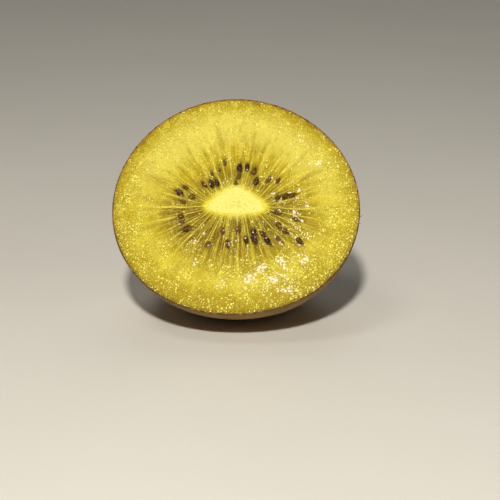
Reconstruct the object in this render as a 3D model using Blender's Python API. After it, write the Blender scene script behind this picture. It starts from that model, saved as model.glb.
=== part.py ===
"""Half of a golden kiwi, resting on its skin with the cut face leaning back.

Metres, +Z up. The cut face looks towards -Y and up. The fruit is first shaped in its own frame, with the cut
in the plane z = 0, the skin below it, +X to the right of the face and +Y up the face. It is then turned to the
angle at which such a half comes to rest on its side.
"""

import math
import random
from typing import NamedTuple

import bmesh
import bpy
from mathutils import Matrix, Vector, noise

MM = 0.001

# The fruit: the cut across its middle, and how far the half reaches behind it, as half an ellipsoid
FACE_HALF_WIDTH = 26.0 * MM
FACE_HALF_HEIGHT = 23.5 * MM
DEPTH = 34.5 * MM
# The outline of the cut is an oval turned a little, with a faint three-cornered swelling
OUTLINE_TURN = math.radians(1.0)
OUTLINE_CORNERS = 0.0116
OUTLINE_CORNER_AT = math.radians(95.5)
OUTLINE_SHIFT = Vector((-0.1 * MM, -0.35 * MM))
# The skin is faintly lumpy
LUMP_HEIGHT = 0.25 * MM
LUMP_SIZE = 17.0 * MM

# The pale core is a low tent shape: nearly flat below, and above it two slopes that meet in a soft peak
CORE_CENTRE = Vector((0.0, -0.3 * MM))
CORE_HALF_WIDTH = 6.35 * MM
CORE_ABOVE = 4.2 * MM
CORE_BELOW = 1.75 * MM
CORE_ROUNDNESS = 0.18
CORE_SLOPE_POWER = 1.25
CORE_BASE_POWER = 0.6
CORE_RISE = 0.30 * MM

# Between core and skin: thin bright walls fan out, and the seed chambers between them sink
RAYS = 34
RAY_WANDER = 1.1
RAY_SHARPNESS = 2.0
CHAMBER_SINK = 0.42 * MM
CHAMBER_PEAK = 0.20
CHAMBER_END = 0.62

# The blossom end: a ring of hard tissue round a shallow pit
SCAR_RADIUS = 2.3 * MM
SCAR_RING_WIDTH = 0.8 * MM
SCAR_RING_HEIGHT = 0.45 * MM
SCAR_PIT_DEPTH = 0.35 * MM
SCAR_RINGS = (3.6 * MM, 2.9 * MM, 2.3 * MM, 1.6 * MM, 0.8 * MM)

# Seeds
SEED_LENGTH = 1.85 * MM
SEED_WIDTH = 1.15 * MM
SEED_THICKNESS = 1.00 * MM
SEED_SIDES = 7
SEED_BANDS = 4
SEED_SIZE_SPREAD = 0.14
SEED_TWIST = 16.0
SEED_RANDOM = 27

# How it rests: the rise of the face's outward normal above the horizontal, and the small flat it stands on
FACE_RISE = math.radians(33.0)
FLAT_DEPTH = 0.55 * MM

# Mesh fineness
FACE_SEGMENTS = 144
SKIN_SEGMENTS = 72
CORE_SEGMENTS = 72
FACE_SHARES = (0.0, 0.06, 0.12, 0.18, 0.24, 0.31, 0.39, 0.48, 0.58, 0.72, 0.88, 1.0)
CORE_SHARES = (0.4, 0.75, 1.0)
SKIN_BANDS = 16
SKIN_BAND_DEGREES = 5.0


class SeedGroup(NamedTuple):
    """Seeds side by side in neighbouring chambers."""

    bearing: float  # of the group's middle, degrees anticlockwise from the right
    step: float  # degrees from one seed to the next
    shares: tuple  # how far each seed lies from core to skin, as a share
    stand: float  # how much of a seed's thickness stands out of the flesh, as a share


SEED_GROUPS = (
    SeedGroup(-161.7, 8.2, (0.29, 0.30), 0.38),
    SeedGroup(-147.2, 0.0, (0.30,), 0.52),
    SeedGroup(-116.9, 0.0, (0.34,), 0.38),
    SeedGroup(-106.2, 0.0, (0.18,), 0.40),
    SeedGroup(-97.3, 0.0, (0.30,), 0.55),
    SeedGroup(-86.1, 0.0, (0.16,), 0.34),
    SeedGroup(-77.7, 0.0, (0.26,), 0.66),
    SeedGroup(-67.4, 1.4, (0.27, 0.20), 0.70),
    SeedGroup(-55.6, 0.4, (0.24, 0.32), 0.66),
    SeedGroup(-44.4, 0.0, (0.35,), 0.32),
    SeedGroup(-32.2, 0.0, (0.50,), 0.55),
    SeedGroup(-32.4, 1.1, (0.32, 0.23), 0.48),
    SeedGroup(-12.8, 3.0, (0.35, 0.13), 0.38),
    SeedGroup(19.1, 2.2, (0.31, 0.24, 0.16), 0.52),
    SeedGroup(46.1, 9.0, (0.29, 0.24), 0.40),
    SeedGroup(62.6, 0.0, (0.15,), 0.58),
    SeedGroup(69.8, 0.0, (0.24,), 0.52),
    SeedGroup(82.5, 8.6, (0.25, 0.22), 0.68),
    SeedGroup(89.0, 3.4, (0.12, 0.03), 0.32),
    SeedGroup(103.2, 0.0, (0.31,), 0.35),
    SeedGroup(114.7, 8.7, (0.25, 0.25), 0.32),
    SeedGroup(122.3, 7.0, (0.13, 0.15), 0.65),
    SeedGroup(134.8, 0.0, (0.19,), 0.48),
    SeedGroup(153.2, 0.0, (0.31,), 0.42),
    SeedGroup(159.2, 0.0, (0.19,), 0.35),
    SeedGroup(162.1, 0.0, (0.33,), 0.60),
    SeedGroup(172.2, 0.0, (0.26,), 0.35),
)


def direction(bearing):
    """The unit vector in the face's plane at a bearing from its right."""
    return Vector((math.cos(bearing), math.sin(bearing)))


def smoothstep(low, high, value):
    """0 below low, 1 above high, and a smooth rise between."""
    share = min(max((value - low) / (high - low), 0.0), 1.0)
    return share * share * (3.0 - 2.0 * share)


def outline_radius(bearing):
    """How far the skin lies from the fruit's axis at the cut."""
    mean = (FACE_HALF_WIDTH + FACE_HALF_HEIGHT) / 2
    oval = (FACE_HALF_WIDTH - FACE_HALF_HEIGHT) / (FACE_HALF_WIDTH + FACE_HALF_HEIGHT)
    return mean * (
        1
        + oval * math.cos(2 * (bearing - OUTLINE_TURN))
        + OUTLINE_CORNERS * math.cos(3 * (bearing - OUTLINE_CORNER_AT))
    )


def outline_point(bearing):
    """The point of the cut's outline at a bearing."""
    return OUTLINE_SHIFT + direction(bearing) * outline_radius(bearing)


def core_point(bearing):
    """The point of the core's edge that faces the outline at this bearing."""
    across, up = direction(bearing)
    tent = CORE_ROUNDNESS * up + (1 - CORE_ROUNDNESS) * (1 - abs(across) ** CORE_SLOPE_POWER)
    height = CORE_ABOVE * tent if up > 0 else -CORE_BELOW * abs(up) ** CORE_BASE_POWER
    return CORE_CENTRE + Vector((CORE_HALF_WIDTH * across, height))


def ray_crest(bearing):
    """1 on the thin wall between two seed chambers and 0 in the middle of a chamber."""
    wander = RAY_WANDER * (math.sin(3 * bearing + 0.7) + 0.6 * math.sin(7 * bearing))
    return (0.5 + 0.5 * math.cos(RAYS * bearing + wander)) ** RAY_SHARPNESS


def chamber_depth(share):
    """How deep the chambers lie at a share of the way from core to skin, as a share of the deepest."""
    return smoothstep(0.0, CHAMBER_PEAK, share) * (1 - smoothstep(CHAMBER_PEAK, CHAMBER_END, share))


def flesh_height(bearing, share):
    """The height of the cut face outside the core, above the plane of the cut."""
    sink = CHAMBER_SINK * chamber_depth(share) * (1 - ray_crest(bearing))
    core_shoulder = CORE_RISE * (1 - smoothstep(0.0, 0.08, share))
    return core_shoulder - sink


def flesh_point(bearing, share):
    """A point of the cut face, from the core's edge at share 0 to the skin at share 1."""
    flat = core_point(bearing).lerp(outline_point(bearing), share)
    return Vector((flat.x, flat.y, flesh_height(bearing, share)))


def core_face_point(bearing, share):
    """A point of the core's top, from its centre at share 0 to its edge at share 1."""
    flat = CORE_CENTRE.lerp(core_point(bearing), share)
    return Vector((flat.x, flat.y, CORE_RISE))


def scar_height(radius):
    """How far the blossom end's ring stands out, or its pit goes in, at this distance from the axis."""
    ring = SCAR_RING_HEIGHT * math.exp(-(((radius - SCAR_RADIUS) / SCAR_RING_WIDTH) ** 2))
    pit = SCAR_PIT_DEPTH * (1 - smoothstep(0.0, SCAR_RADIUS, radius))
    return ring - pit


def skin_point(bearing, radius_share):
    """A point of the skin's half ellipsoid, from the rim of the cut at share 1 to the blossom end at share 0."""
    radius = outline_radius(bearing) * radius_share
    depth = DEPTH * math.sqrt(1 - radius_share**2)
    flat = OUTLINE_SHIFT + direction(bearing) * radius
    point = Vector((flat.x, flat.y, -depth - scar_height(radius)))
    outward = Vector((flat.x, flat.y, -depth)).normalized()
    calm = smoothstep(0.0, 0.25 * DEPTH, depth)
    return point + outward * (LUMP_HEIGHT * calm * noise.noise(point / LUMP_SIZE))


def add_ring(bm, place, segments):
    """Vertices once round, at place(bearing)."""
    return [bm.verts.new(place(2 * math.pi * i / segments)) for i in range(segments)]


def add_strip(bm, outer, inner):
    """Faces between two rings, where the inner one has as many vertices as the outer, or half as many."""
    per_inner = len(outer) // len(inner)
    for i, near in enumerate(inner):
        far = inner[(i + 1) % len(inner)]
        edge = [outer[(per_inner * i + k) % len(outer)] for k in range(per_inner + 1)]
        if per_inner == 1:
            bm.faces.new((edge[0], edge[1], far, near))
        else:
            bm.faces.new((edge[0], edge[1], near))
            bm.faces.new((edge[1], far, near))
            bm.faces.new((edge[1], edge[2], far))


def add_fan(bm, ring, centre):
    """Faces from a ring to one vertex in its middle."""
    middle = bm.verts.new(centre)
    for i, vertex in enumerate(ring):
        bm.faces.new((vertex, ring[(i + 1) % len(ring)], middle))


def add_cut_face(bm):
    """The cut face, and the ring of vertices on its rim."""
    rings = [add_ring(bm, lambda a, s=s: flesh_point(a, s), FACE_SEGMENTS) for s in FACE_SHARES[::-1]]
    core = [add_ring(bm, lambda a, s=s: core_face_point(a, s), CORE_SEGMENTS) for s in CORE_SHARES[-2::-1]]
    for outer, inner in zip(rings, rings[1:] + core[:1]):
        add_strip(bm, outer, inner)
    for outer, inner in zip(core, core[1:]):
        add_strip(bm, outer, inner)
    add_fan(bm, core[-1], (*CORE_CENTRE, CORE_RISE))
    return rings[0]


def add_skin(bm, rim):
    """The skin, from the rim of the cut to the blossom end."""
    mean = (FACE_HALF_WIDTH + FACE_HALF_HEIGHT) / 2
    shares = [math.cos(math.radians(SKIN_BAND_DEGREES * k)) for k in range(1, SKIN_BANDS + 1)]
    shares += [radius / mean for radius in SCAR_RINGS]
    rings = [add_ring(bm, lambda a, s=s: skin_point(a, s), SKIN_SEGMENTS) for s in shares]
    for outer, inner in zip([rim, *rings], rings):
        add_strip(bm, outer, inner)
    add_fan(bm, rings[-1], skin_point(0.0, 0.0))


def cut_resting_flat(bm):
    """Cuts the skin off level where it touches the ground, and returns how far below the face's middle that is."""
    down = Vector((0.0, -math.cos(FACE_RISE), -math.sin(FACE_RISE)))
    lowest = max(vertex.co.dot(down) for vertex in bm.verts)
    ground = lowest - FLAT_DEPTH
    everything = bm.verts[:] + bm.edges[:] + bm.faces[:]
    cut = bmesh.ops.bisect_plane(bm, geom=everything, plane_co=down * ground, plane_no=down, clear_outer=True)
    edges = [part for part in cut["geom_cut"] if isinstance(part, bmesh.types.BMEdge)]
    bmesh.ops.contextual_create(bm, geom=edges)
    return ground


def make_material(name, colour, roughness):
    """A plain finish: base colour and roughness."""
    material = bpy.data.materials.new(name)
    material.use_nodes = True
    shader = material.node_tree.nodes["Principled BSDF"]
    shader.inputs["Base Color"].default_value = (*colour, 1.0)
    shader.inputs["Roughness"].default_value = roughness
    shader.inputs["Metallic"].default_value = 0.0
    return material


def make_body():
    """The half without its seeds, and how far its resting flat lies below the middle of the face."""
    bm = bmesh.new()
    rim = add_cut_face(bm)
    add_skin(bm, rim)
    bmesh.ops.recalc_face_normals(bm, faces=bm.faces[:])
    ground = cut_resting_flat(bm)
    bmesh.ops.triangulate(bm, faces=bm.faces[:])
    mesh = bpy.data.meshes.new("kiwi_half")
    bm.to_mesh(mesh)
    bm.free()
    mesh.shade_smooth()
    mesh.set_sharp_from_angle(angle=math.radians(40))
    body = bpy.data.objects.new("kiwi_half", mesh)
    bpy.context.scene.collection.objects.link(body)
    return body, ground


def seed_matrices():
    """Where each seed lies: its long way along its chamber, half sunk in the flesh."""
    chance = random.Random(SEED_RANDOM)
    for group in SEED_GROUPS:
        first = group.bearing - group.step * (len(group.shares) - 1) / 2
        for i, share in enumerate(group.shares):
            bearing = math.radians(first + group.step * i)
            along = (outline_point(bearing) - core_point(bearing)).normalized()
            twist = math.radians(chance.uniform(-SEED_TWIST, SEED_TWIST))
            size = 1 + chance.uniform(-SEED_SIZE_SPREAD, SEED_SIZE_SPREAD)
            centre = flesh_point(bearing, share)
            centre.z += (group.stand - 0.5) * SEED_THICKNESS * size
            turn = Matrix.Rotation(math.atan2(along.y, along.x) + twist, 4, "Z")
            scale = Matrix.Diagonal((SEED_LENGTH / 2, SEED_WIDTH / 2, SEED_THICKNESS / 2, 1 / size)) * size
            yield Matrix.Translation(centre) @ turn @ scale


def make_seeds():
    """A collection of seeds, one object each."""
    seeds = bpy.data.collections.new("seeds")
    bpy.context.scene.collection.children.link(seeds)
    for i, matrix in enumerate(seed_matrices()):
        bm = bmesh.new()
        bmesh.ops.create_uvsphere(bm, u_segments=SEED_SIDES, v_segments=SEED_BANDS, radius=1.0)
        # The poles of the sphere become the seed's two ends
        bmesh.ops.rotate(bm, verts=bm.verts[:], cent=(0, 0, 0), matrix=Matrix.Rotation(math.pi / 2, 3, "Y"))
        bmesh.ops.transform(bm, verts=bm.verts[:], matrix=matrix)
        mesh = bpy.data.meshes.new(f"seed_{i:02d}")
        bm.to_mesh(mesh)
        bm.free()
        seeds.objects.link(bpy.data.objects.new(mesh.name, mesh))
    return seeds


def fuse(body, pieces):
    """Joins a collection of pieces to the body and removes their objects."""
    union = body.modifiers.new("fuse seeds", "BOOLEAN")
    union.operation = "UNION"
    union.operand_type = "COLLECTION"
    union.collection = pieces
    union.solver = "EXACT"
    graph = bpy.context.evaluated_depsgraph_get()
    fused = bpy.data.meshes.new_from_object(body.evaluated_get(graph))
    body.modifiers.clear()
    body.data = fused
    for piece in list(pieces.objects):
        bpy.data.objects.remove(piece)
    bpy.data.collections.remove(pieces)


def rest_on_ground(body, ground):
    """Leans the half back onto its flat, with the origin under the middle of its box."""
    body.rotation_euler = (math.pi / 2 - FACE_RISE, 0.0, 0.0)
    turn = body.rotation_euler.to_matrix()
    points = [turn @ vertex.co for vertex in body.data.vertices]
    middle = [(min(p[k] for p in points) + max(p[k] for p in points)) / 2 for k in (0, 1)]
    body.location = (-middle[0], -middle[1], ground)


def main():
    """Builds the kiwi half."""
    for obj in list(bpy.data.objects):
        bpy.data.objects.remove(obj)
    body, ground = make_body()
    fuse(body, make_seeds())
    body.data.materials.clear()
    body.data.materials.append(make_material("golden_flesh", (0.72, 0.52, 0.07), 0.35))
    rest_on_ground(body, ground)


main()
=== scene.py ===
"""The looks of half a golden kiwi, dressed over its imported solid.

Metres, +Z up. The half is shaped in its own frame, with the cut in the plane z = 0, the skin below it and
+Y up the face, and is then leaned back to the angle at which it rests. Each form repeats the solid's own
named sizes, so a seed, a ray or the blossom end lies where the solid has it; grain, fibres and hairs are
added to that.
"""

import logging
import math
import random
from collections.abc import Callable, Iterable, Iterator, Mapping, Sequence
from dataclasses import dataclass, field
from enum import Enum
from typing import Any

import bpy
import numpy as np
from mathutils import Matrix, Vector, noise


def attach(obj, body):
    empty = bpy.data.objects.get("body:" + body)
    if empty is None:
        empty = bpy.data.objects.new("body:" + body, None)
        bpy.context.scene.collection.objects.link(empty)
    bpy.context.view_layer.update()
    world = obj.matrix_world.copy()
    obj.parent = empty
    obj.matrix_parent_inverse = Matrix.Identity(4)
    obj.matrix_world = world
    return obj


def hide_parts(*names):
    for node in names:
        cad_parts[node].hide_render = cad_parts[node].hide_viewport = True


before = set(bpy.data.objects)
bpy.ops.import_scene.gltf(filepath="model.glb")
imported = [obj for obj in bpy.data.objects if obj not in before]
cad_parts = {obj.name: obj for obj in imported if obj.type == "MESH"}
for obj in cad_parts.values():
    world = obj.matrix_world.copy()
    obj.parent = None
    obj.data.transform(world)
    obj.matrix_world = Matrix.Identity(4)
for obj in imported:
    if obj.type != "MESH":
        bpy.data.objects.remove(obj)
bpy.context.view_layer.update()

log = logging.getLogger("kiwi")

MM = 0.001

Colour = tuple[float, float, float, float]


class Slot(Enum):
    """The record's finishes."""

    FLESH = "golden_flesh"
    SKIN = "brown_skin"
    SEED = "dark_seed"


def srgb(red: float, green: float, blue: float) -> Colour:
    """Turns a colour as seen on a screen into the renderer's own.

    Args:
        red, green, blue: from 0 to 255.

    Returns:
        The linear colour, opaque.
    """
    parts = [channel / 255 for channel in (red, green, blue)]
    linear = [c / 12.92 if c <= 0.04045 else ((c + 0.055) / 1.055) ** 2.4 for c in parts]
    return (linear[0], linear[1], linear[2], 1.0)


def smoothstep(low: float, high: float, value: Any) -> Any:
    """A smooth rise over numbers or arrays.

    Args:
        low: where it leaves 0.
        high: where it reaches 1.
        value: a number or an array.

    Returns:
        0 below low, 1 above high, and the rise between.
    """
    share = np.clip((value - low) / (high - low), 0.0, 1.0)
    return share * share * (3.0 - 2.0 * share)


def waves(points: np.ndarray, size: float, seed: float = 0.0) -> np.ndarray:
    """Smooth unevenness over points.

    Args:
        points: an array of places, n by 3.
        size: how far one swelling is from the next.
        seed: another number gives another pattern.

    Returns:
        A value from about -1 to 1 for each point.
    """
    places = (points / size + seed).tolist()
    return np.array([noise.noise(Vector(place)) for place in places])


def pebbles(points: np.ndarray, size: float, seed: float = 0.0, reach: float = 0.75) -> np.ndarray:
    """Rounded grains packed side by side.

    Args:
        points: an array of places, n by 3.
        size: how far one grain is from the next.
        seed: another number gives another pattern.
        reach: how far a grain falls away from its middle, as a share of size.

    Returns:
        1 on top of a grain, falling to about 0 in the seam beside it.
    """
    places = (points / size + seed).tolist()
    nearest = np.array([noise.voronoi(Vector(place))[0][0] for place in places])
    return np.clip(1.0 - nearest / reach, 0.0, 1.0)


def bearings_round(count: int) -> np.ndarray:
    """Bearings once round, from the right and against the clock."""
    return np.arange(count) * (2 * math.pi / count)


# Shader maths


class Signal:
    """A value that varies over a surface, written like a number in an expression."""

    def __init__(self, paint: "Paint", socket: bpy.types.NodeSocket) -> None:
        """Wraps one output socket of a material's nodes."""
        self.paint = paint
        self.socket = socket

    def __add__(self, other: "Signal | float") -> "Signal":
        """This plus other."""
        return self.paint.maths("ADD", self, other)

    __radd__ = __add__

    def __mul__(self, other: "Signal | float") -> "Signal":
        """This times other."""
        return self.paint.maths("MULTIPLY", self, other)

    __rmul__ = __mul__

    def __sub__(self, other: "Signal | float") -> "Signal":
        """This minus other."""
        return self.paint.maths("SUBTRACT", self, other)

    def __rsub__(self, other: float) -> "Signal":
        """Other minus this, as in 1 - mask."""
        return self.paint.maths("SUBTRACT", other, self)

    def __pow__(self, power: float) -> "Signal":
        """This to a power."""
        return self.paint.maths("POWER", self, power)


class Paint:
    """One material, whose surface is built node by node."""

    def __init__(self, name: str) -> None:
        """Starts a material with a plain shader."""
        self.material = bpy.data.materials.new(name)
        self.material.use_nodes = True
        self.nodes = self.material.node_tree.nodes
        self.links = self.material.node_tree.links
        self.shader = self.nodes["Principled BSDF"]

    def node(
        self,
        kind: str,
        settings: Mapping[str, Any] | None = None,
        sockets: Mapping[str | int, Any] | None = None,
        output: str | int = 0,
    ) -> Signal:
        """Adds one node.

        Args:
            kind: the node's type.
            settings: its own properties; "stops" are a ramp's pairs of place and colour.
            sockets: input name or number to a value or a signal.
            output: the output's name or number.

        Returns:
            The chosen output as a signal.
        """
        made = self.nodes.new(kind)
        for name, value in (settings or {}).items():
            if name == "stops":
                self._set_stops(made.color_ramp, value)
            else:
                setattr(made, name, value)
        for name, value in (sockets or {}).items():
            self._feed(made.inputs[name], value)
        return Signal(self, made.outputs[output])

    def _set_stops(self, ramp: bpy.types.ColorRamp, stops: Sequence[tuple[float, Colour]]) -> None:
        """Gives a colour ramp its stops, from left to right."""
        while len(ramp.elements) < len(stops):
            ramp.elements.new(1.0)
        for element, (place, colour) in zip(ramp.elements, stops):
            element.position = place
            element.color = colour

    def _feed(self, socket: bpy.types.NodeSocket, value: Any) -> None:
        """Links a signal to a socket, or sets a plain value on it."""
        if isinstance(value, Signal):
            self.links.new(value.socket, socket)
        else:
            socket.default_value = value

    def maths(self, operation: str, first: Signal | float, second: Signal | float) -> Signal:
        """Adds a Math node on two values."""
        return self.node("ShaderNodeMath", {"operation": operation}, {0: first, 1: second})

    def attribute(self, name: str, output: str = "Fac") -> Signal:
        """Reads what the mesh carries under this name."""
        return self.node("ShaderNodeAttribute", {"attribute_name": name}, output=output)

    def place(self) -> Signal:
        """The point on the surface, in the object's metres."""
        return self.node("ShaderNodeTexCoord", output="Object")

    def stretch(self, vector: Signal, by: Sequence[float] | float) -> Signal:
        """A vector times a number or times another vector."""
        factors = (by, by, by) if isinstance(by, (int, float)) else tuple(by)
        return self.node("ShaderNodeVectorMath", {"operation": "MULTIPLY"}, {0: vector, 1: factors})

    def shift(self, vector: Signal, by: Signal) -> Signal:
        """A vector with a value or vector added to it."""
        return self.node("ShaderNodeVectorMath", {"operation": "ADD"}, {0: vector, 1: by})

    def part(self, vector: Signal, axis: int) -> Signal:
        """One of a vector's three numbers."""
        return self.node("ShaderNodeSeparateXYZ", None, {0: vector}, axis)

    def clouds(
        self, where: Signal, size: float = 1.0, detail: float = 2.0, rough: float = 0.5, output: str | int = 0
    ) -> Signal:
        """Smooth noise about 0.5, whose swellings lie about a size apart."""
        sockets = {"Vector": where, "Scale": 1 / size, "Detail": detail, "Roughness": rough}
        return self.node("ShaderNodeTexNoise", None, sockets, output)

    def cells(self, where: Signal, size: float, output: str = "Distance") -> Signal:
        """Cells about a size apart: the distance to the nearest one's middle, or its own random colour."""
        return self.node("ShaderNodeTexVoronoi", None, {"Vector": where, "Scale": 1 / size}, output)

    def larger(self, first: Signal, second: Signal) -> Signal:
        """The larger of two values."""
        return self.maths("MAXIMUM", first, second)

    def dots(self, where: Signal, size: float, radius: float, few: Signal | float) -> Signal:
        """Scattered dots, some small and faint, some large and plain.

        Args:
            where: the point on the surface.
            size: how far one dot is from the next, in metres.
            radius: the largest dot's, as a share of that.
            few: how many places stay empty, from 0 to 1.

        Returns:
            1 in a plain dot and 0 outside all dots.
        """
        chance = self.node("ShaderNodeSeparateColor", None, {0: self.cells(where, size, "Color")})
        reach = radius * self.rise(chance - few, -0.05, 0.35)
        inside = self.rise(reach - self.cells(where, size), -0.03, 0.10)
        return inside * self.rise(chance - few, 0.0, 0.22)

    def rise(self, value: Signal, low: float, high: float) -> Signal:
        """0 below low and 1 above high, smooth between; with low above high it falls instead."""
        start, end = (0.0, 1.0) if low < high else (1.0, 0.0)
        sockets = {"Value": value, "To Min": start, "To Max": end}
        sockets |= {"From Min": min(low, high), "From Max": max(low, high)}
        return self.node("ShaderNodeMapRange", {"interpolation_type": "SMOOTHSTEP"}, sockets)

    def mix(self, share: Signal | float, below: Any, above: Any) -> Signal:
        """Lays one colour over another.

        Args:
            share: how much of the upper one shows.
            below: the lower colour, or a signal.
            above: the upper colour, or a signal.

        Returns:
            The mixed colour.
        """
        settings = {"data_type": "RGBA", "clamp_factor": True}
        return self.node("ShaderNodeMix", settings, {0: share, 6: below, 7: above}, 2)

    def ramp(self, value: Signal, stops: Sequence[tuple[float, Colour]]) -> Signal:
        """A colour for each value from 0 to 1."""
        return self.node("ShaderNodeValToRGB", {"stops": stops}, {"Fac": value}, "Color")

    def bump(self, height: Signal, depth: float, under: Signal | None = None) -> Signal:
        """A fine relief.

        Args:
            height: from 0 to 1.
            depth: what 1 stands for, in metres.
            under: a coarser relief that this one lies on.

        Returns:
            The normal.
        """
        sockets: dict[str | int, Any] = {"Height": height, "Distance": depth}
        if under is not None:
            sockets["Normal"] = under
        return self.node("ShaderNodeBump", None, sockets, "Normal")

    def finish(self, **sockets: Any) -> bpy.types.Material:
        """Sets the shader's sockets, named with _ for a space, and hands over the material."""
        for name, value in sockets.items():
            words = name.replace("_", " ").title().replace("Ior", "IOR")
            self._feed(self.shader.inputs[words], value)
        return self.material


# The fruit's form


@dataclass(frozen=True)
class SeedGroup:
    """Seeds side by side in neighbouring chambers."""

    bearing: float
    step: float
    shares: tuple[float, ...]
    stand: float


SEED_GROUPS = (
    SeedGroup(-161.7, 8.2, (0.29, 0.30), 0.38),
    SeedGroup(-147.2, 0.0, (0.30,), 0.52),
    SeedGroup(-116.9, 0.0, (0.34,), 0.38),
    SeedGroup(-106.2, 0.0, (0.18,), 0.40),
    SeedGroup(-97.3, 0.0, (0.30,), 0.55),
    SeedGroup(-86.1, 0.0, (0.16,), 0.34),
    SeedGroup(-77.7, 0.0, (0.26,), 0.66),
    SeedGroup(-67.4, 1.4, (0.27, 0.20), 0.70),
    SeedGroup(-55.6, 0.4, (0.24, 0.32), 0.66),
    SeedGroup(-44.4, 0.0, (0.35,), 0.32),
    SeedGroup(-32.2, 0.0, (0.50,), 0.55),
    SeedGroup(-32.4, 1.1, (0.32, 0.23), 0.48),
    SeedGroup(-12.8, 3.0, (0.35, 0.13), 0.38),
    SeedGroup(19.1, 2.2, (0.31, 0.24, 0.16), 0.52),
    SeedGroup(46.1, 9.0, (0.29, 0.24), 0.40),
    SeedGroup(62.6, 0.0, (0.15,), 0.58),
    SeedGroup(69.8, 0.0, (0.24,), 0.52),
    SeedGroup(82.5, 8.6, (0.25, 0.22), 0.68),
    SeedGroup(89.0, 3.4, (0.12, 0.03), 0.32),
    SeedGroup(103.2, 0.0, (0.31,), 0.35),
    SeedGroup(114.7, 8.7, (0.25, 0.25), 0.32),
    SeedGroup(122.3, 7.0, (0.13, 0.15), 0.65),
    SeedGroup(134.8, 0.0, (0.19,), 0.48),
    SeedGroup(153.2, 0.0, (0.31,), 0.42),
    SeedGroup(159.2, 0.0, (0.19,), 0.35),
    SeedGroup(162.1, 0.0, (0.33,), 0.60),
    SeedGroup(172.2, 0.0, (0.26,), 0.35),
)


@dataclass(frozen=True)
class Seed:
    """One seed in its chamber."""

    bearing: float
    share: float
    stand: float
    twist: float
    size: float


PlacedSeed = tuple[tuple[np.ndarray, float], Seed]


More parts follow.
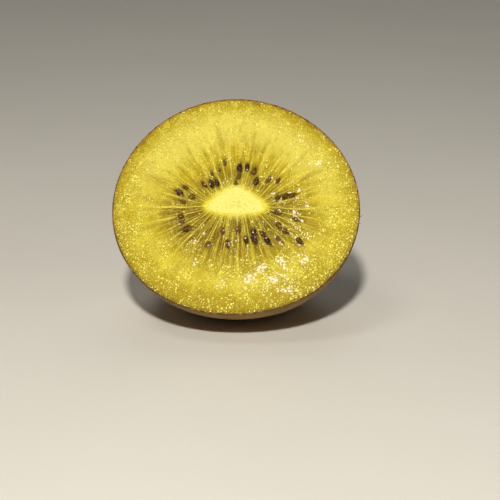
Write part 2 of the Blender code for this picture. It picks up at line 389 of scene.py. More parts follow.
@dataclass(frozen=True)
class Fruit:
    """The half's form, with the solid's own sizes.

    A place on the cut is a bearing from the face's right and a share of the way from the core's edge to the
    skin. A place on the skin is a bearing and a share of the outline's radius.
    """

    half_width: float = 26.0 * MM
    half_height: float = 23.5 * MM
    depth: float = 34.5 * MM
    outline_turn: float = math.radians(1.0)
    outline_corners: float = 0.0116
    outline_corner_at: float = math.radians(95.5)
    outline_shift: tuple[float, float] = (-0.1 * MM, -0.35 * MM)
    lump_height: float = 0.25 * MM
    lump_size: float = 17.0 * MM
    core_centre: tuple[float, float] = (0.0, -0.3 * MM)
    core_half_width: float = 6.35 * MM
    core_above: float = 4.2 * MM
    core_below: float = 1.75 * MM
    core_roundness: float = 0.18
    core_slope_power: float = 1.25
    core_base_power: float = 0.6
    core_rise: float = 0.30 * MM
    rays: int = 34
    ray_wander: float = 1.1
    ray_waver: float = 0.9
    ray_length: float = 0.68
    chamber_sink: float = 0.42 * MM
    chamber_peak: float = 0.20
    chamber_end: float = 0.62
    scar_radius: float = 2.3 * MM
    scar_ring_width: float = 0.8 * MM
    scar_ring_height: float = 0.45 * MM
    scar_pit_depth: float = 0.35 * MM
    seed_length: float = 1.85 * MM
    seed_width: float = 1.15 * MM
    seed_thickness: float = 1.00 * MM
    seed_size_spread: float = 0.14
    seed_twist: float = 16.0
    seed_random: int = 27
    face_rise: float = math.radians(33.0)
    flat_depth: float = 0.55 * MM
    flat_edge: float = 0.12 * MM

    def outline_radius(self, bearing: np.ndarray) -> np.ndarray:
        """How far the skin lies from the fruit's axis at the cut."""
        mean = (self.half_width + self.half_height) / 2
        oval = (self.half_width - self.half_height) / (self.half_width + self.half_height)
        corners = self.outline_corners * np.cos(3 * (bearing - self.outline_corner_at))
        return mean * (1 + oval * np.cos(2 * (bearing - self.outline_turn)) + corners)

    def outline(self, bearing: np.ndarray, inset: float | np.ndarray = 0.0) -> np.ndarray:
        """The cut's outline, or a line that far inside it, as n by 2."""
        radius = self.outline_radius(bearing) - inset
        around = np.stack((np.cos(bearing), np.sin(bearing)), 1)
        return np.array(self.outline_shift) + radius[:, None] * around

    def core_edge(self, bearing: np.ndarray) -> np.ndarray:
        """The core's edge where it faces the outline at this bearing, as n by 2."""
        across, up = np.cos(bearing), np.sin(bearing)
        slope = 1 - np.abs(across) ** self.core_slope_power
        tent = self.core_roundness * up + (1 - self.core_roundness) * slope
        base = -self.core_below * np.abs(up) ** self.core_base_power
        height = np.where(up > 0, self.core_above * tent, base)
        return np.array(self.core_centre) + np.stack((self.core_half_width * across, height), 1)

    def ray_phase(self, bearing: np.ndarray) -> np.ndarray:
        """The angle whose cosine is 1 on each thin wall between two chambers."""
        return self.rays * bearing + self.ray_wander * (np.sin(3 * bearing + 0.7) + 0.6 * np.sin(7 * bearing))

    def ray_wave(self, bearing: np.ndarray, share: float) -> np.ndarray:
        """1 on each wall and -1 in the middle of each chamber; the walls waver a little on their way out."""
        reach = np.column_stack((np.cos(bearing), np.sin(bearing), np.full(len(bearing), share)))
        waver = self.ray_waver * waves(reach * (1.0, 1.0, 0.5), 0.12, 9.0)
        return np.cos(self.ray_phase(bearing) + waver * min(1.0, abs(share) * 4))

    def ray_strength(self, bearing: np.ndarray, share: float) -> np.ndarray:
        """How plainly each wall shows at a share of the way, from 0 to 1; some are faint and some short."""
        number = np.round(self.ray_phase(bearing) / (2 * math.pi))
        chance = waves(np.column_stack((number * 0.37, number * 0.11, number * 0.0)) + 0.5, 1.0)
        length = self.ray_length * (1 + 0.35 * chance)
        start = float(smoothstep(-0.03, 0.03, share))
        fading = 1 - smoothstep(0.45 * length, length, share)
        return start * fading * np.clip(0.80 + 0.9 * chance, 0.12, 1.0)

    def chamber(self, share: float) -> float:
        """How deep the chambers lie at a share of the way, as a share of the deepest."""
        fall = 1 - smoothstep(self.chamber_peak, self.chamber_end, share)
        return float(smoothstep(0.0, self.chamber_peak, share) * fall)

    def cut_height(self, bearing: np.ndarray, share: float, sharpness: float = 2.0) -> np.ndarray:
        """The height of the cut face above its plane, from the core's shoulder outwards."""
        crest = (0.5 + 0.5 * self.ray_wave(bearing, share)) ** sharpness
        sink = self.chamber_sink * self.chamber(share) * (1 - crest)
        return self.core_rise * (1 - smoothstep(0.0, 0.08, share)) - sink

    def skin(self, bearing: np.ndarray, radius_share: float, inset: float = 0.0) -> np.ndarray:
        """A ring of the skin, or of a surface that far inside it.

        Args:
            bearing: the ring's bearings.
            radius_share: 1 at the cut's rim and 0 at the blossom end.
            inset: how far inside the skin, square to it.

        Returns:
            The points, n by 3.
        """
        around = np.stack((np.cos(bearing), np.sin(bearing)), 1)
        full = self.outline_radius(bearing)
        radius = full * radius_share
        sunk = math.sqrt(1 - radius_share**2)
        depth = self.depth * sunk
        ring = self.scar_ring_height * np.exp(-(((radius - self.scar_radius) / self.scar_ring_width) ** 2))
        pit = self.scar_pit_depth * (1 - smoothstep(0.0, self.scar_radius, radius))
        flat = np.array(self.outline_shift) + radius[:, None] * around
        points = np.column_stack((flat, -depth - ring + pit))
        outward = np.column_stack((flat, np.full(len(bearing), -depth)))
        outward /= np.linalg.norm(outward, axis=1)[:, None]
        calm = float(smoothstep(0.0, 0.25 * self.depth, depth))
        points += outward * (self.lump_height * calm * waves(points, self.lump_size))[:, None]
        side = radius_share / full
        back = np.full(len(bearing), sunk / self.depth)
        square = np.column_stack((around * side[:, None], -back))
        square /= np.linalg.norm(square, axis=1)[:, None]
        return points - square * np.broadcast_to(inset, (len(bearing),))[:, None]

    def seeds(self) -> Iterator[Seed]:
        """The solid's seeds, in the same order and from the same random numbers."""
        chance = random.Random(self.seed_random)
        for group in SEED_GROUPS:
            first = group.bearing - group.step * (len(group.shares) - 1) / 2
            for i, share in enumerate(group.shares):
                twist = math.radians(chance.uniform(-self.seed_twist, self.seed_twist))
                size = 1 + chance.uniform(-self.seed_size_spread, self.seed_size_spread)
                yield Seed(math.radians(first + group.step * i), share, group.stand, twist, size)

    def on_cut(self, bearing: float, share: float) -> tuple[np.ndarray, float]:
        """One place on the cut: its point in the plane, and the direction of the chamber there."""
        at = np.array([bearing])
        core, skin = self.core_edge(at)[0], self.outline(at)[0]
        along = skin - core
        return core + along * share, math.atan2(along[1], along[0])


class RestingPlace:
    """Lays points of the fruit's own frame down where the half rests."""

    def __init__(self, fruit: Fruit) -> None:
        """Finds the turn, the height and the middle from the skin and the rim."""
        self.fruit = fruit
        self.turn = np.array(Matrix.Rotation(math.pi / 2 - fruit.face_rise, 3, "X"))
        bearings = np.radians(np.arange(0.0, 360.0, 5.0))
        rings = [fruit.skin(bearings, math.cos(math.radians(5.0 * k))) for k in range(17)]
        turned = np.concatenate(rings) @ self.turn.T
        low, high = turned.min(axis=0), turned.max(axis=0)
        middle = (low + high) / 2
        self.offset = np.array((-middle[0], -middle[1], -(low[2] + fruit.flat_depth)))

    def lay(self, points: np.ndarray, floor: float = 0.0) -> np.ndarray:
        """Turns and moves points, and presses what is below the floor flat on to it.

        Args:
            points: n by 3, in the fruit's own frame.
            floor: the lowest height allowed.

        Returns:
            The points in the row's frame.
        """
        laid = points @ self.turn.T + self.offset
        above = laid[:, 2] - floor
        edge = self.fruit.flat_edge
        kept = (above + np.sqrt(above**2 + edge**2)) / 2
        laid[:, 2] = floor + kept * (1 - edge**2 / (above**2 + 2 * edge**2) / 2)
        return laid


class Gathering:
    """Points, faces and what the points carry, gathered part by part into one piece."""

    def __init__(self) -> None:
        """Starts with nothing."""
        self.points: list[np.ndarray] = []
        self.faces: list[tuple[int, ...]] = []
        self.carried: dict[str, list[np.ndarray]] = {}
        self.count = 0

    def take(self, points: np.ndarray, carried: Mapping[str, np.ndarray | float]) -> np.ndarray:
        """Adds points.

        Args:
            points: n by 3.
            carried: values that the material reads, one for each point or one for all.

        Returns:
            The points' numbers.
        """
        number = np.arange(self.count, self.count + len(points))
        self.points.append(points)
        self.count += len(points)
        for name, value in carried.items():
            values = np.full(len(points), value) if np.ndim(value) == 0 else value
            self.carried.setdefault(name, []).append(values)
        return number

    def shape(
        self, points: np.ndarray, faces: Iterable[tuple[int, ...]], **carried: np.ndarray | float
    ) -> None:
        """Adds a whole shape.

        Args:
            points: the points, n by 3.
            faces: the faces, which count these points from 0.
            carried: values that the material reads, one for each point or one for all.
        """
        start = self.count
        self.take(points, carried)
        self.faces += [tuple(start + i for i in face) for face in faces]

    def piece(self, name: str, place: Callable[[np.ndarray], np.ndarray]) -> bpy.types.Object:
        """Makes the mesh object.

        Args:
            name: the piece's name.
            place: lays the points down where the half rests.

        Returns:
            The object, smooth, with what its points carry.
        """
        mesh = bpy.data.meshes.new(name)
        mesh.from_pydata(place(np.concatenate(self.points)).tolist(), [], self.faces)
        for key, parts in self.carried.items():
            values = np.concatenate(parts)
            kind, entry = ("FLOAT_VECTOR", "vector") if values.ndim == 2 else ("FLOAT", "value")
            mesh.attributes.new(key, kind, "POINT").data.foreach_set(entry, values.ravel())
        mesh.shade_smooth()
        made = bpy.data.objects.new(name, mesh)
        bpy.context.scene.collection.objects.link(made)
        return made


class Loft(Gathering):
    """A surface stitched from rings of points, each as fine as the last, half as fine or twice as fine."""

    def __init__(self) -> None:
        """Starts with no ring."""
        super().__init__()
        self.last: np.ndarray | None = None
        self.first: np.ndarray | None = None

    def ring(self, points: np.ndarray, **carried: np.ndarray | float) -> None:
        """Adds a ring and stitches it to the one before.

        Args:
            points: the points round the ring, n by 3.
            carried: values that the material reads, one for each point or one for all.
        """
        number = self.take(points, carried)
        if self.last is not None:
            self._stitch(self.last, number)
        else:
            self.first = number
        self.last = number

    def _stitch(self, outer: np.ndarray, inner: np.ndarray) -> None:
        """Faces between two rings."""
        if len(outer) == len(inner):
            far_outer, far_inner = np.roll(outer, -1), np.roll(inner, -1)
            self.faces += np.stack((outer, far_outer, far_inner, inner), 1).tolist()
            return
        fine, near = (outer, inner) if len(outer) > len(inner) else (inner, outer)
        far = np.roll(near, -1)
        start, middle, end = fine[0::2], fine[1::2], np.roll(fine, -2)[0::2]
        corners = ((start, middle, near), (middle, far, near), (middle, end, far))
        faces = np.concatenate([np.stack(corner, 1) for corner in corners])
        self.faces += (faces if fine is outer else faces[:, ::-1]).tolist()

    def cap(self, **carried: float | np.ndarray) -> None:
        """Closes the last ring with one point in its middle."""
        ring = self.last
        middle = self.take(self.points[-1].mean(axis=0)[None], carried)
        self.faces += np.stack((ring, np.roll(ring, -1), np.full(len(ring), middle[0])), 1).tolist()

    def close(self) -> None:
        """Stitches the last ring to the first."""
        self._stitch(self.last, self.first)


# Finishes


@dataclass(frozen=True)
class FleshFinish:
    """Wet golden flesh: pale core, bright walls, brown chambers, a pale band and a darker rim, all grainy;
    glitter and glints painted in as highlights, and painted shade over the outer flesh towards the bottom.
    """

    core: Colour = srgb(230, 223, 121)
    core_fleck: Colour = srgb(206, 194, 74)
    wall: Colour = srgb(244, 230, 104)
    fibre: Colour = srgb(232, 214, 84)
    chamber: Colour = srgb(88, 55, 2)
    furrow: Colour = srgb(138, 104, 0)
    seed_stain: Colour = srgb(58, 32, 8)
    olive: Colour = srgb(156, 132, 2)
    bright: Colour = srgb(228, 210, 72)
    deep: Colour = srgb(150, 122, 6)
    dull: Colour = srgb(122, 98, 4)
    # The grain colour serves both the grains' paler tone and the painted glitter flecks; the three colours
    # after it are painted glints and a painted sheen.
    grain: Colour = srgb(255, 246, 128)
    glint_cream: Colour = srgb(255, 242, 178)
    glint_white: Colour = srgb(255, 238, 206)
    milky_sheen: Colour = srgb(214, 200, 122)
    pale: Colour = srgb(234, 222, 120)
    sand_size: float = 0.17 * MM
    grit_size: float = 0.30 * MM
    fuzz_size: float = 0.9 * MM
    tatter_size: float = 1.1 * MM
    shred_size: float = 1.5 * MM
    patch_size: float = 2.4 * MM
    busy_size: float = 2.6 * MM
    drift_size: float = 4.5 * MM
    looseness: float = 0.7 * MM
    fine_glitter_fleck_spacing: float = 0.48 * MM
    cream_glint_spacing: float = 0.50 * MM
    glint_spacing: float = 0.60 * MM
    coarse_glitter_fleck_spacing: float = 0.95 * MM
    grit_depth: float = 0.10 * MM
    fuzz_depth: float = 0.12 * MM
    subsurface: float = 0.4 * MM
    streaks: tuple[float, float, float] = (7.0, 7.0, 1.6)
    strokes: tuple[float, float, float] = (17.0, 17.0, 10.0)
    threads: tuple[float, float, float] = (30.0, 30.0, 2.6)
    wall_sharpness: float = 15.0
    broad_wall_sharpness: float = 4.0

    def from_core_to_skin(self) -> Sequence[tuple[float, Colour]]:
        """The flesh's ground colours by share of the way."""
        return (
            (0.00, srgb(222, 206, 62)),
            (0.05, srgb(194, 170, 30)),
            (0.14, srgb(172, 144, 10)),
            (0.28, srgb(174, 147, 10)),
            (0.40, srgb(188, 163, 16)),
            (0.50, srgb(194, 171, 24)),
            (0.60, srgb(204, 184, 46)),
            (0.70, srgb(211, 192, 60)),
            (0.80, srgb(194, 172, 30)),
            (0.90, srgb(178, 155, 13)),
            (0.96, srgb(165, 141, 6)),
            (1.00, srgb(128, 98, 4)),
        )

    def material(self) -> bpy.types.Material:
        """Builds the finish."""
        return FleshPainting(self).material()


class FleshPainting:
    """The flesh's colour, laid on layer by layer.

    A layer goes by the place on the cut (`across` and `up` from -1 to 1 by bearing, `share` from the core to
    the skin), by what the mesh carries, and by noises, from grit up to drifts.
    """

    def __init__(self, look: FleshFinish) -> None:
        """Adds the nodes that several layers share."""
        self.look = look
        self.paint = paint = Paint("wet golden flesh")
        self.where = where = paint.place()
        self.fan = paint.attribute("fan", "Vector")
        self.across, self.up, self.share = (paint.part(self.fan, axis) for axis in range(3))
        self.wave = paint.attribute("ray_wave")
        self.stain = paint.attribute("seed_stain")
        self.wet = paint.attribute("wet")
        self.torn = paint.attribute("torn")
        self.grit = paint.clouds(where, look.grit_size)
        self.fuzz = paint.clouds(where, look.fuzz_size, 3.0, 0.65)
        self.tatter = paint.rise(paint.clouds(where, look.tatter_size, 3.0, 0.7), 0.40, 0.58)
        self.patch = paint.clouds(where, look.patch_size, 3.0, 0.6)
        self.busy = paint.clouds(where, look.busy_size)
        self.drift = paint.clouds(where, look.drift_size)
        self.streak = paint.clouds(paint.stretch(self.fan, look.streaks))
        self.thread = paint.clouds(paint.stretch(self.fan, look.threads))
        self.upper = paint.rise(self.up, -0.2, 0.7)
        self.outer = paint.rise(self.share, 0.60, 0.90)
        self.crest = (0.5 + 0.5 * self.wave) ** look.wall_sharpness
        warp = paint.clouds(where, look.looseness, 1.0, output="Color")
        self.loose = paint.shift(where, paint.stretch(warp, look.looseness))
        soft_share = self.share + 0.14 * (self.fuzz - 0.5) + 0.12 * (self.streak - 0.5)
        self.colour = paint.ramp(soft_share, look.from_core_to_skin())

    def material(self) -> bpy.types.Material:
        """Lays on every layer and sets the shader."""
        self._patches()
        self._chambers()
        fibres = self._walls()
        self._grain()
        self._core()
        flecks = self._flecks()
        cream_glints = self._glints()
        core = self.paint.rise(self.share, 0.02, -0.04)
        coarse = self.paint.bump(self.grit + 0.7 * flecks + cream_glints, self.look.grit_depth)
        return self.paint.finish(
            base_color=self.colour,
            roughness=0.50 - 0.25 * self.wet - 0.20 * flecks + 0.04 * core,
            normal=self.paint.bump(self.fuzz + 0.5 * fibres, self.look.fuzz_depth, coarse),
            specular_ior_level=0.05,
            subsurface_weight=0.20,
            subsurface_radius=(1.0, 0.7, 0.1),
            subsurface_scale=self.look.subsurface,
            ior=1.34,
        )

    def _lay(self, share: Signal, above: Colour | Signal) -> None:
        """Lays a colour over what is there."""
        self.colour = self.paint.mix(share, self.colour, above)

    def _patches(self) -> None:
        """Olive and bright patches, the pale band above and darker smears across it."""
        look, rise, share = self.look, self.paint.rise, self.share
        calm = 1 - 0.5 * self.upper
        self._lay(0.45 * calm * rise(self.patch, 0.52, 0.66) * rise(share, 0.3, 0.8), look.olive)
        self._lay(0.35 * rise(self.patch, 0.48, 0.36) * rise(share, 0.3, 0.6), look.bright)
        self._lay(0.35 * calm * rise(self.drift, 0.48, 0.66), look.olive)
        pale_band = rise(share + 0.2 * (self.drift - 0.5), 0.35, 0.60) * rise(share, 0.95, 0.78)
        self._lay(0.32 * self.upper * pale_band, look.pale)
        smear = rise(self.streak + 0.3 * (self.fuzz - 0.5), 0.52, 0.64)
        self._lay(0.35 * smear * rise(share, 0.35, 0.5) * rise(share, 0.85, 0.65), look.deep)

    def _chambers(self) -> None:
        """Brown chambers between the walls, furrows that run out from them, and fine strokes over both."""
        look, rise, share = self.look, self.paint.rise, self.share
        between = 1 - self.crest
        reach = share + 0.3 * (self.streak - 0.5) + 0.18 * self.upper - 0.09
        zone = rise(share, 0.01, 0.08) * rise(reach, 0.56, 0.22)
        thinner_above = 1 - (0.40 + 0.48 * rise(share, 0.15, 0.28)) * self.upper
        self._lay(0.92 * zone * between * rise(self.streak, 0.20, 0.50) * thinner_above, look.chamber)
        zone = rise(share, 0.05, 0.3) * rise(share + 0.2 * (self.drift - 0.5), 0.80, 0.50)
        furrow = zone * between * rise(self.streak + 0.3 * (self.thread - 0.5), 0.45, 0.65)
        self._lay(0.60 * furrow * (1 - 0.55 * self.upper), look.furrow)
        strokes = self.paint.clouds(self.paint.stretch(self.fan, look.strokes))
        zone = rise(share, 0.02, 0.10) * rise(share + 0.2 * (self.streak - 0.5), 0.72, 0.45)
        self._lay(0.34 * zone * rise(strokes, 0.50, 0.66), look.dull)
        self._lay(0.26 * zone * rise(strokes, 0.48, 0.34), look.bright)

    def _walls(self) -> Signal:
        """Fine fibres with dark clefts beside them, the broken bright walls, and the stains round the seeds.

        Returns:
            Where the fibres are.
        """
        look, rise, share, up = self.look, self.paint.rise, self.share, self.up
        reach = rise(share, -0.02, 0.03) * rise(share + 0.4 * (self.drift - 0.5), 0.80, 0.25)
        fibres = reach * rise(self.thread, 0.52, 0.62) * (0.45 + 0.55 * rise(self.fuzz, 0.35, 0.6))
        self._lay(0.65 * fibres, look.fibre)
        self._lay((0.50 - 0.20 * self.upper) * reach * rise(self.thread, 0.46, 0.36), look.furrow)
        broad = (0.5 + 0.5 * self.wave) ** look.broad_wall_sharpness
        spread = self.crest + 0.7 * rise(up, 0.0, 0.6) * rise(share, 0.05, 0.3) * (broad - self.crest)
        broken = 0.20 + 0.25 * rise(self.fuzz, 0.35, 0.6) + 0.30 * rise(self.grit, 0.4, 0.6)
        broken = (broken + 0.25 * self.tatter) * (1 - 0.35 * rise(up, 0.1, -0.4) * (1 - self.tatter))
        faint = 0.30 * rise(up, 0.0, 0.6) + 0.25 * rise(up, -0.5, -0.9)
        self._lay(spread * self.paint.attribute("ray_strength") * broken * (1 - faint), look.wall)
        self._lay(0.9 * self.stain, look.seed_stain)
        return fibres

    def _grain(self) -> None:
        """Grit and sand, most of it towards the skin, painted shade over the outer flesh towards the bottom,
        and the darker rim below.
        """
        look, rise, share, grit = self.look, self.paint.rise, self.share, self.grit
        zone = rise(share, 0.02, 0.10) * (0.35 + 0.5 * rise(self.busy, 0.40, 0.65) + 0.45 * self.outer)
        zone = zone * (1.15 - 0.38 * self.upper)
        self._lay(0.55 * zone * rise(grit, 0.50, 0.30), look.deep)
        self._lay(0.40 * zone * rise(grit, 0.50, 0.70), look.grain)
        # Painted shade: the outer flesh laid darker towards the bottom of the cut, where less light falls.
        painted_low_shade = rise(self.up, -0.5, -0.95) * rise(share + 0.2 * (self.patch - 0.5), 0.72, 0.90)
        self._lay(0.55 * painted_low_shade, look.deep)
        last_band = rise(share + 0.03 * (self.fuzz - 0.5), 0.95, 0.99)
        self._lay(last_band * (0.18 + 0.72 * rise(self.up, 0.2, -0.6)), look.dull)
        sand = self.paint.clouds(self.where, look.sand_size, 1.0)
        self._lay(0.40 * zone * rise(sand, 0.50, 0.35), look.deep)
        self._lay(0.35 * zone * rise(sand, 0.52, 0.66), look.grain)

    def _core(self) -> None:
        """The pale core with its ragged edge and a few flecks."""
        look, rise, share, across = self.look, self.paint.rise, self.share, self.across
        ragged = 0.16 * (self.fuzz - 0.5) + 0.14 * (self.thread - 0.5) + 0.30 * (self.grit - 0.5)
        flecked = 0.7 * rise(self.grit + 0.08 * rise(share, -0.45, -0.85), 0.55, 0.68)
        core = self.paint.mix(flecked, look.core, look.core_fleck)
        self._lay(rise(share + 0.08 * across * across + ragged, 0.08, -0.09), core)

    def _flecks(self) -> Signal:
        """Small bright flecks, most of them low, to the right, near the skin and where the cut is wet; partly
        the grains' paler colour, partly painted glitter.

        Returns:
            Where the flecks are.
        """
        look, paint, rise = self.look, self.paint, self.paint.rise
        inner = rise(self.share, 0.50, 0.30)
        few = 0.95 - 0.45 * rise(self.busy, 0.30, 0.70) - 0.30 * self.wet - 0.20 * self.outer - 0.07 * inner
        few = few - 0.06 * self.across + (0.16 - 0.20 * inner) * self.up - 0.25 * self.torn
        fine_glitter_flecks = paint.dots(self.loose, look.fine_glitter_fleck_spacing, 0.40, few)
        coarse_glitter_flecks = paint.dots(self.loose, look.coarse_glitter_fleck_spacing, 0.25, few + 0.14)
        flecks = paint.larger(fine_glitter_flecks, coarse_glitter_flecks) * rise(self.share, -0.03, 0.05)
        # Painted glitter: the bright flecks stand partly for the grains' paler colour and partly for glints
        # off the wet grains.
        self._lay((0.72 + 0.25 * self.tatter) * flecks, look.grain)
        return flecks

    def _glints(self) -> Signal:
        """Painted highlights: cream glints, a painted milky sheen on the torn patches, and pinkish glints
        there, beside seeds and to the right.

        Returns:
            Where the cream glints are.
        """
        look, paint, rise, share = self.look, self.paint, self.paint.rise, self.share
        # Painted highlights: cream glints scattered over the wet spots.
        cream_glints = paint.dots(self.loose, look.cream_glint_spacing, 0.46, 1.00 - 0.68 * self.wet)
        self._lay(0.85 * cream_glints, look.glint_cream)
        shred = paint.clouds(self.where, look.shred_size)
        ragged = rise(self.torn + 0.9 * (shred - 0.5) + 0.5 * (self.fuzz - 0.5), 0.35, 0.70)
        # Painted sheen: a milky pale haze laid over the torn patches.
        self._lay(0.30 * ragged, look.milky_sheen)
        clumped = self.wet * rise(shred, 0.40, 0.56)
        beside_seeds = rise(self.stain, 0.03, 0.25) * (0.24 + 0.12 * self.across - 0.05 * self.up)
        right_fan = rise(self.across, 0.55, 0.90) * rise(share, 0.06, 0.16) * rise(share, 0.75, 0.50)
        few = 1.02 - 0.58 * clumped - 0.64 * ragged - beside_seeds - 0.20 * right_fan
        # Painted glints: pale dots gathered on wet and torn spots, beside seeds and to the right.
        self._lay(0.9 * paint.dots(self.loose, look.glint_spacing, 0.54, few), look.glint_white)
        return cream_glints


@dataclass(frozen=True)
class SkinFinish:
    """Thin bronze skin with fine dots, and a red-brown edge where the knife went through."""

    bronze: Colour = srgb(134, 101, 50)
    tan: Colour = srgb(162, 130, 68)
    shade: Colour = srgb(88, 61, 28)
    dot: Colour = srgb(74, 50, 28)
    scurf: Colour = srgb(184, 160, 112)
    edge: Colour = srgb(84, 48, 10)
    edge_pale: Colour = srgb(150, 104, 42)
    under_edge: Colour = srgb(126, 92, 10)
    mottle_size: float = 7.0 * MM
    fine_size: float = 0.9 * MM
    dot_spacing: float = 0.95 * MM
    grit_size: float = 0.28 * MM
    pore_size: float = 0.25 * MM
    mottle_depth: float = 0.25 * MM
    pore_depth: float = 0.05 * MM
    paler_from: float = 12 * MM
    paler_to: float = 32 * MM

    def material(self) -> bpy.types.Material:
        """Builds the finish."""
        paint = Paint("thin bronze skin")
        where = paint.place()
        cut_edge = paint.attribute("cut_edge")
        mottle = paint.clouds(where, self.mottle_size, 4.0, 0.6)
        fine = paint.clouds(where, self.fine_size, 3.0, 0.6)
        grit = paint.clouds(where, self.grit_size)
        dots = paint.rise(paint.cells(where, self.dot_spacing), 0.30, 0.16)
        colour = paint.mix(paint.rise(mottle, 0.38, 0.62), self.bronze, self.tan)
        colour = paint.mix(0.55 * paint.rise(fine, 0.45, 0.68), colour, self.shade)
        colour = paint.mix(0.8 * dots, colour, self.dot)
        colour = paint.mix(0.60 * paint.rise(grit, 0.52, 0.62), colour, self.shade)
        colour = paint.mix(0.45 * paint.rise(grit, 0.46, 0.36), colour, self.scurf)
        high = paint.rise(paint.part(where, 2), self.paler_from, self.paler_to)
        edge = paint.mix(paint.rise(fine + 0.12 * high, 0.50, 0.66), self.edge, self.edge_pale)
        colour = paint.mix(paint.attribute("below_edge"), colour, self.under_edge)
        colour = paint.mix(cut_edge, colour, edge)
        coarse = paint.bump(mottle + 0.5 * fine, self.mottle_depth)
        normal = paint.bump(dots + 0.6 * paint.clouds(where, self.pore_size), self.pore_depth, coarse)
        roughness = 0.62 - 0.12 * fine - 0.20 * cut_edge
        return paint.finish(base_color=colour, roughness=roughness, normal=normal, specular_ior_level=0.2)


@dataclass(frozen=True)
class SeedFinish:
    """Glossy dark seeds, from nearly black to brown where the flesh veils them, with a painted mauve sheen
    and small painted pink glints.
    """

    dark: Colour = srgb(36, 13, 7)
    brown: Colour = srgb(94, 62, 4)
    olive: Colour = srgb(128, 98, 8)
    mauve_sheen: Colour = srgb(132, 96, 78)
    glint_rose: Colour = srgb(222, 190, 156)
    chamber: Colour = srgb(100, 72, 4)
    tip: Colour = srgb(104, 72, 38)
    blotch_size: float = 0.45 * MM
    speck_size: float = 0.20 * MM
    pit_spacing: float = 0.30 * MM
    glint_spacing: float = 0.55 * MM
    pit_depth: float = 0.08 * MM

    def material(self) -> bpy.types.Material:
        """Builds the finish."""
        paint = Paint("glossy seed coat")
        where = paint.place()
        tone = paint.attribute("tone")
        bed = paint.attribute("bed")
        blotch = paint.clouds(where, self.blotch_size, 3.0, 0.6)
        speck = paint.clouds(where, self.speck_size, 1.0)
        patchy = tone * (0.55 + 0.75 * paint.rise(blotch, 0.38, 0.60))
        colour = paint.mix(patchy, self.dark, self.brown)
        # Painted sheen: mauve-brown patches over the seed coat.
        colour = paint.mix(0.45 * paint.rise(speck + 0.5 * (blotch - 0.5), 0.54, 0.64), colour, self.mauve_sheen)
        worn = (0.08 + 0.70 * tone) * paint.rise(blotch + 0.3 * (speck - 0.5), 0.48, 0.60)
        colour = paint.mix(worn, colour, self.olive)
        colour = paint.mix(0.6 * paint.rise(paint.attribute("along"), 0.80, 0.98), colour, self.tip)
        colour = paint.mix(paint.rise(bed + 0.8 * (speck - 0.5), 0.35, 0.75), colour, self.chamber)
        # Painted glints: small pinkish dots on the seed coat.
        colour = paint.mix(0.85 * paint.dots(where, self.glint_spacing, 0.46, 0.50), colour, self.glint_rose)
        return paint.finish(
            base_color=colour,
            roughness=0.08 + 0.08 * blotch + 0.5 * bed,
            normal=paint.bump(paint.cells(where, self.pit_spacing) + 0.6 * speck, self.pit_depth),
            specular_ior_level=0.15,
            coat_weight=0.5 - 0.5 * tone,
            coat_roughness=0.08,
        )


@dataclass(frozen=True)
class HairFinish:
    """Dry dark hairs and the dried remains at the blossom end."""

    root: Colour = srgb(74, 50, 28)
    tip: Colour = srgb(128, 96, 58)
    fleck_size: float = 0.4 * MM
    fleck_depth: float = 0.02 * MM

    def material(self) -> bpy.types.Material:
        """Builds the finish."""
        paint = Paint("dry hair")
        fleck = paint.clouds(paint.place(), self.fleck_size)
        colour = paint.mix(paint.attribute("along") * fleck * 1.6, self.root, self.tip)
        normal = paint.bump(fleck, self.fleck_depth)
        return paint.finish(base_color=colour, roughness=0.6 + 0.2 * fleck, normal=normal)


@dataclass(frozen=True)
class FloorFinish:
    """A plain pale floor with the faintest unevenness."""

    pale: Colour = srgb(226, 220, 207)
    shade: Colour = srgb(218, 211, 197)
    drifts_per_metre: float = 14.0
    specks_per_metre: float = 900.0
    speck_depth: float = 0.03 * MM

    def material(self) -> bpy.types.Material:
        """Builds the finish."""
        paint = Paint("pale floor")
        drift = paint.clouds(paint.place(), 1 / self.drifts_per_metre, 3.0)
        fine = paint.clouds(paint.place(), 1 / self.specks_per_metre)
        normal = paint.bump(fine, self.speck_depth)
        colour = paint.mix(drift, self.pale, self.shade)
        return paint.finish(base_color=colour, roughness=0.7 + 0.1 * fine, normal=normal)


# The pieces


def wear(piece: bpy.types.Object, material: bpy.types.Material, slot: Slot) -> bpy.types.Object:
    """Gives a piece its finish and lets it ride with the half.

    Args:
        piece: the mesh object.
        material: its finish.
        slot: the record's name for it; not used.

    Returns:
        The same piece.
    """
    piece.data.materials.append(material)
    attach(piece, "root")
    return piece


